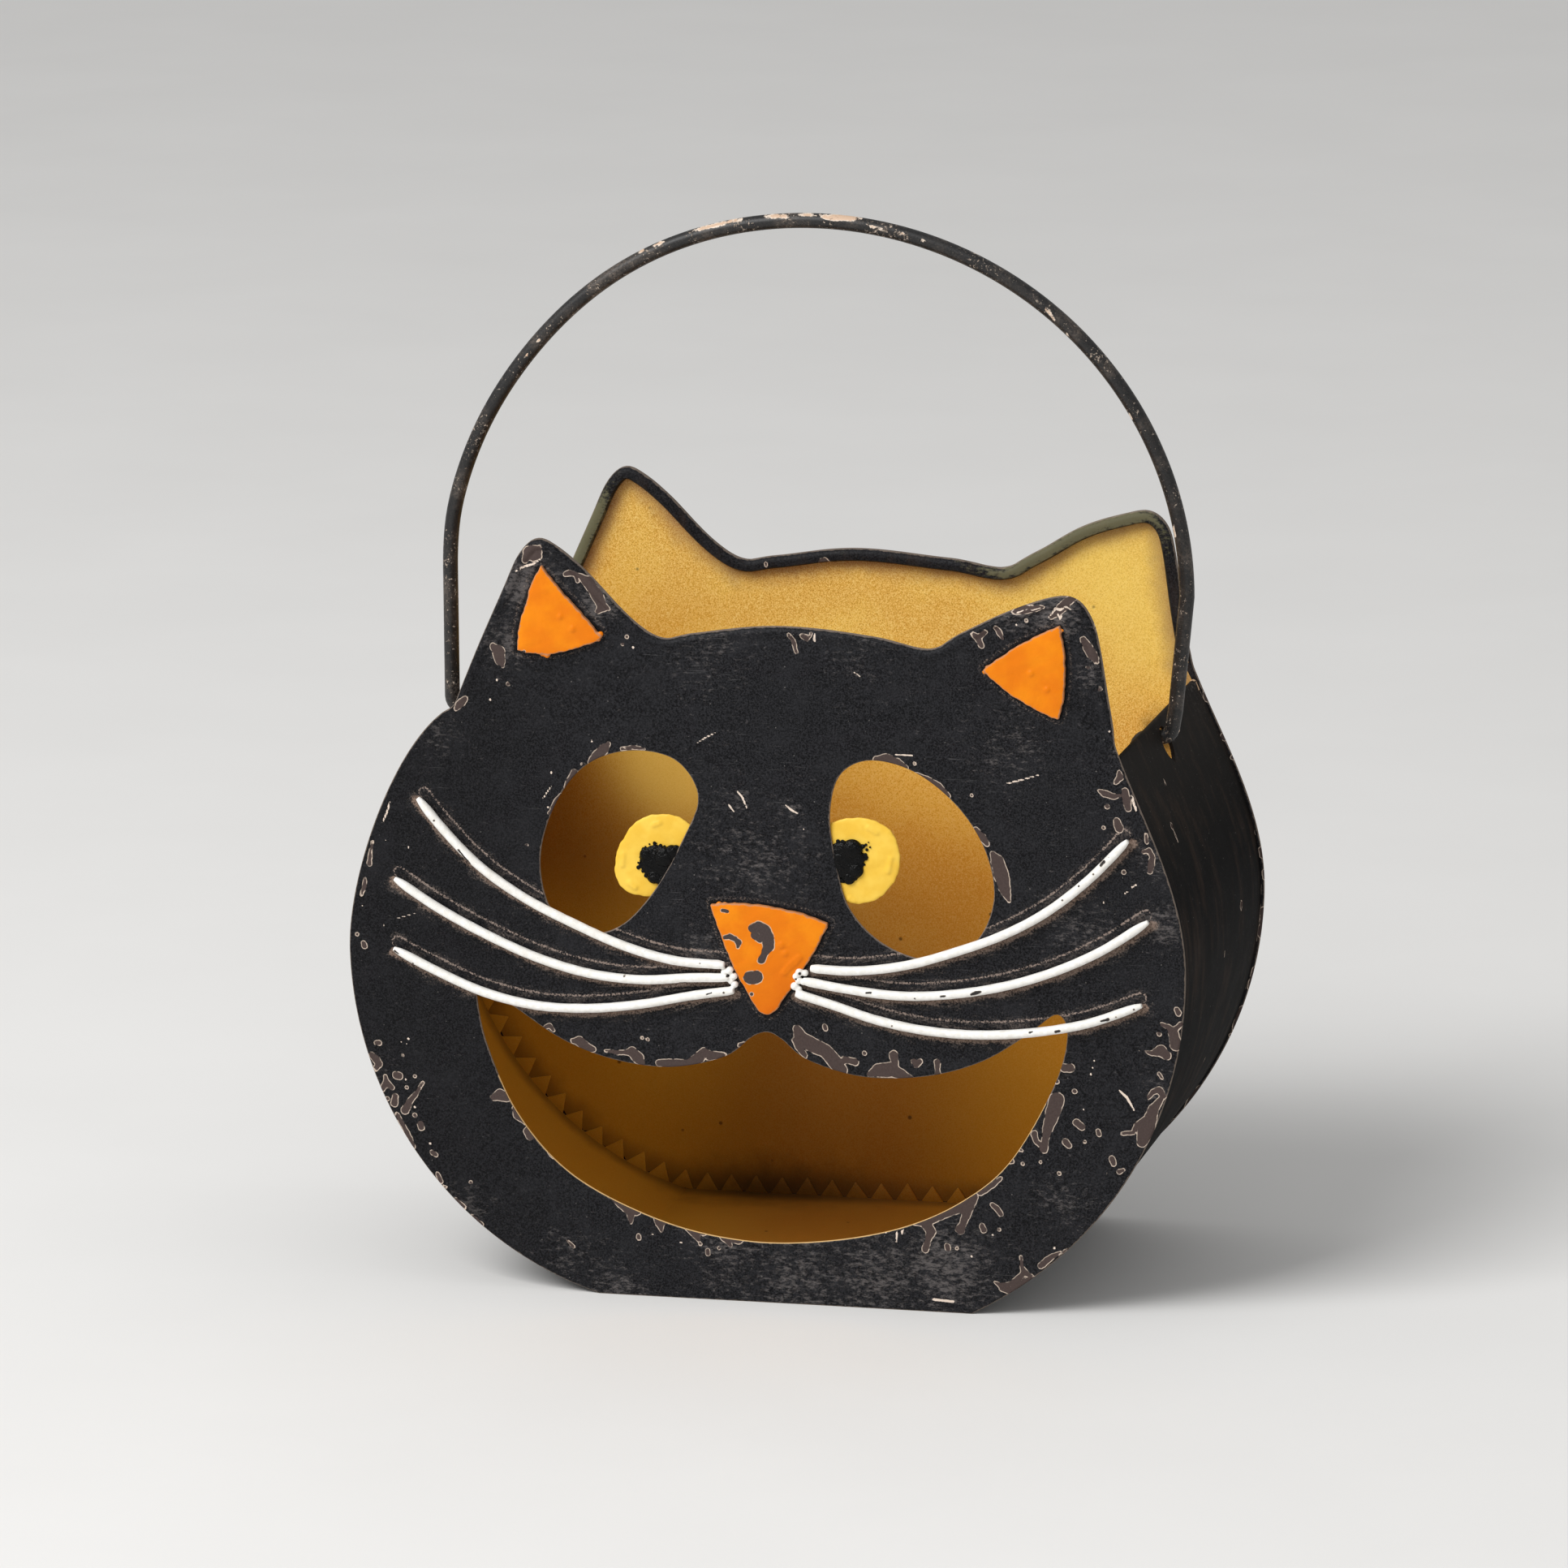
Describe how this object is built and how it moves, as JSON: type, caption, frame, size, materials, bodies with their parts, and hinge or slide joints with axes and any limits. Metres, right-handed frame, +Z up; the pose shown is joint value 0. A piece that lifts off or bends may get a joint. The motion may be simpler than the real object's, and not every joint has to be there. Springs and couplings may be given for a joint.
{
  "type": "black cat bucket",
  "caption": "Sheet-metal bucket with a cat's face: cut-out eyes and mouth, wire whiskers, eared front and back plates on a toothed side band, and a swinging wire handle.",
  "frame": {"origin": "middle of the base, at the level the bucket stands on, under the centre of its box", "axes": "+Z up, +Y to the back, +X to the right of someone who faces the cat; the face looks along -Y"},
  "size_m": [0.2032, 0.0926, 0.2525],
  "materials": {
    "black_paint": "worn satin black paint, chipped to taupe primer with pale edges",
    "gold_paint": "satin gold paint with fine grain, on every inner face; outer faces are black",
    "white_paint": "thick satin white paint with small black chips",
    "orange_paint": "thick satin orange paint",
    "yellow_paint": "thick satin yellow paint",
    "black_gloss": "thick wet-looking gloss black paint"
  },
  "bodies": {
    "bucket": {"front_plate": "black_paint", "back_plate": "gold_paint", "side_band": "black_paint", "front_rim_wire": "black_paint", "back_rim_wire": "black_paint", "whisker_left_top": "white_paint", "whisker_left_middle": "white_paint", "whisker_left_bottom": "white_paint", "whisker_right_top": "white_paint", "whisker_right_middle": "white_paint", "whisker_right_bottom": "white_paint", "nose": "orange_paint", "ear_insert_left": "orange_paint", "ear_insert_right": "orange_paint", "iris_left": "yellow_paint", "iris_right": "yellow_paint", "pupil_left": "black_gloss", "pupil_right": "black_gloss"},
    "handle": {"handle": "black_paint"}
  },
  "joints": [
    {"name": "handle_swing", "type": "hinge", "parent": "bucket", "child": "handle", "pos_m": [0, 0.00135, 0.1302], "axis": [1, 0, 0], "range_deg": [-87, 87]}
  ]
}
